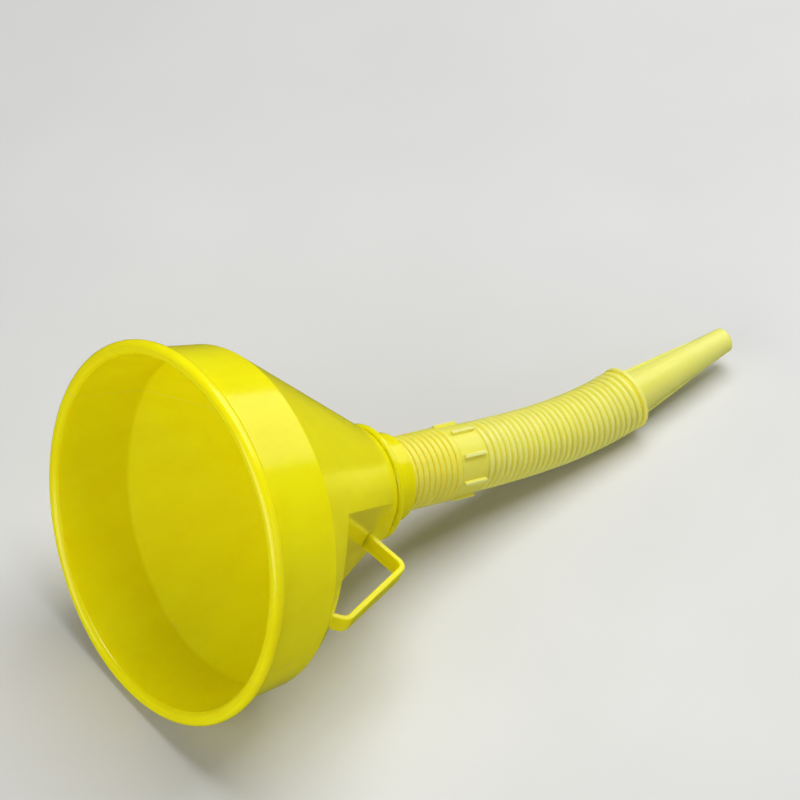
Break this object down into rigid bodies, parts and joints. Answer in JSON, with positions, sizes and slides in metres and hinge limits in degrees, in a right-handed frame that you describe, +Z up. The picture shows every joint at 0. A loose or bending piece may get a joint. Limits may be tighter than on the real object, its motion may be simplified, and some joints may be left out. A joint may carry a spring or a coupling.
{
  "type": "funnel",
  "caption": "Round fuel funnel with a rolled lip, strap handle over a hand recess, a turning spout base, a bendable corrugated hose and a tapered finned nozzle.",
  "frame": {"origin": "on the bench surface, under the centre of the bounding box, with the funnel lying on its lip and on the end ring of its hose", "axes": "+Z up, +X along the funnel from mouth to nozzle, seen from above; -Y is the side with the strap handle"},
  "size_m": [0.3354, 0.16, 0.1555],
  "materials": {
    "funnel_plastic": "glossy moulded polyethylene, saturated yellow, slightly see-through",
    "spout_plastic": "satin moulded polyethylene, paler lemon yellow",
    "nozzle_plastic": "satin moulded polyethylene, paler lemon yellow"
  },
  "bodies": {
    "funnel": {"bowl": "funnel_plastic", "neck_socket": "funnel_plastic", "strap_handle": "funnel_plastic"},
    "spout_base": {"spout_base": "spout_plastic"},
    "hose_link_01": {"hose_link_01": "spout_plastic"},
    "hose_link_02": {"hose_link_02": "spout_plastic"},
    "hose_link_03": {"hose_link_03": "spout_plastic"},
    "hose_link_04": {"hose_link_04": "spout_plastic"},
    "hose_link_05": {"hose_link_05": "spout_plastic"},
    "hose_link_06": {"hose_link_06": "spout_plastic"},
    "hose_link_07": {"hose_link_07": "spout_plastic"},
    "hose_link_08": {"hose_link_08": "spout_plastic"},
    "hose_link_09": {"hose_link_09": "spout_plastic"},
    "hose_link_10": {"hose_link_10": "spout_plastic"},
    "hose_link_11": {"hose_link_11": "spout_plastic"},
    "hose_link_12": {"hose_link_12": "spout_plastic"},
    "hose_link_13": {"hose_link_13": "spout_plastic"},
    "hose_link_14": {"hose_link_14": "spout_plastic"},
    "nozzle": {"nozzle": "nozzle_plastic"}
  },
  "joints": [
    {"name": "spout_turn", "type": "hinge", "parent": "funnel", "child": "spout_base", "pos_m": [-0.03547, 0, 0.0468], "axis": [0.9556, 0, -0.2946], "continuous": true},
    {"name": "hose_raise_1", "type": "hinge", "parent": "spout_base", "child": "hose_link_01", "pos_m": [0.01376, 0, 0.03162], "axis": [0, -1, 0], "range_deg": [-6.11, 1.43]},
    {"name": "hose_swing_1", "type": "hinge", "parent": "hose_link_01", "child": "hose_link_02", "pos_m": [0.01995, 0, 0.02974], "axis": [0.291, 0, 0.9567], "range_deg": [-5.95, 4.84]},
    {"name": "hose_raise_2", "type": "hinge", "parent": "hose_link_02", "child": "hose_link_03", "pos_m": [0.02614, 0.00001, 0.02786], "axis": [0.0008, -1, -0.0003], "range_deg": [-6.11, 1.43]},
    {"name": "hose_swing_2", "type": "hinge", "parent": "hose_link_03", "child": "hose_link_04", "pos_m": [0.03236, 0.00001, 0.02607], "axis": [0.2756, 0, 0.9613], "range_deg": [-5.95, 4.84]},
    {"name": "hose_raise_3", "type": "hinge", "parent": "hose_link_04", "child": "hose_link_05", "pos_m": [0.03858, 0.00004, 0.02429], "axis": [0.0045, -1, -0.0013], "range_deg": [-6.11, 1.43]},
    {"name": "hose_swing_3", "type": "hinge", "parent": "hose_link_05", "child": "hose_link_06", "pos_m": [0.04484, 0.00007, 0.02268], "axis": [0.2481, -0.0001, 0.9687], "range_deg": [-5.95, 4.84]},
    {"name": "hose_raise_4", "type": "hinge", "parent": "hose_link_06", "child": "hose_link_07", "pos_m": [0.05111, 0.00015, 0.02108], "axis": [0.0111, -0.9999, -0.003], "range_deg": [-6.11, 1.43]},
    {"name": "hose_swing_4", "type": "hinge", "parent": "hose_link_07", "child": "hose_link_08", "pos_m": [0.05744, 0.00022, 0.01973], "axis": [0.2083, -0.0006, 0.9781], "range_deg": [-5.95, 4.84]},
    {"name": "hose_raise_5", "type": "hinge", "parent": "hose_link_08", "child": "hose_link_09", "pos_m": [0.06377, 0.00036, 0.01838], "axis": [0.0206, -0.9998, -0.005], "range_deg": [-6.11, 1.43]},
    {"name": "hose_swing_5", "type": "hinge", "parent": "hose_link_09", "child": "hose_link_10", "pos_m": [0.07016, 0.00049, 0.01738], "axis": [0.1559, -0.0017, 0.9878], "range_deg": [-5.95, 4.84]},
    {"name": "hose_raise_6", "type": "hinge", "parent": "hose_link_10", "child": "hose_link_11", "pos_m": [0.07654, 0.00071, 0.01637], "axis": [0.0331, -0.9994, -0.007], "range_deg": [-6.11, 1.43]},
    {"name": "hose_swing_6", "type": "hinge", "parent": "hose_link_11", "child": "hose_link_12", "pos_m": [0.08298, 0.00093, 0.01578], "axis": [0.0908, -0.004, 0.9959], "range_deg": [-5.95, 4.84]},
    {"name": "hose_raise_7", "type": "hinge", "parent": "hose_link_12", "child": "hose_link_13", "pos_m": [0.08942, 0.00125, 0.0152], "axis": [0.0487, -0.9988, -0.0084], "range_deg": [-6.11, 1.43]},
    {"name": "hose_swing_7", "type": "hinge", "parent": "hose_link_13", "child": "hose_link_14", "pos_m": [0.09588, 0.00156, 0.01512], "axis": [0.0129, -0.0078, 0.9999], "range_deg": [-5.95, 4.84]},
    {"name": "nozzle_pull", "type": "slide", "parent": "hose_link_14", "child": "nozzle", "axis": [0.9977, 0.0673, -0.0124], "range_m": [0, 0.008]}
  ],
  "couplings": [
    {"joint": "hose_raise_2", "follows": "hose_raise_1", "ratio": 1},
    {"joint": "hose_swing_2", "follows": "hose_swing_1", "ratio": 1},
    {"joint": "hose_raise_3", "follows": "hose_raise_1", "ratio": 1},
    {"joint": "hose_swing_3", "follows": "hose_swing_1", "ratio": 1},
    {"joint": "hose_raise_4", "follows": "hose_raise_1", "ratio": 1},
    {"joint": "hose_swing_4", "follows": "hose_swing_1", "ratio": 1},
    {"joint": "hose_raise_5", "follows": "hose_raise_1", "ratio": 1},
    {"joint": "hose_swing_5", "follows": "hose_swing_1", "ratio": 1},
    {"joint": "hose_raise_6", "follows": "hose_raise_1", "ratio": 1},
    {"joint": "hose_swing_6", "follows": "hose_swing_1", "ratio": 1},
    {"joint": "hose_raise_7", "follows": "hose_raise_1", "ratio": 1},
    {"joint": "hose_swing_7", "follows": "hose_swing_1", "ratio": 1}
  ]
}
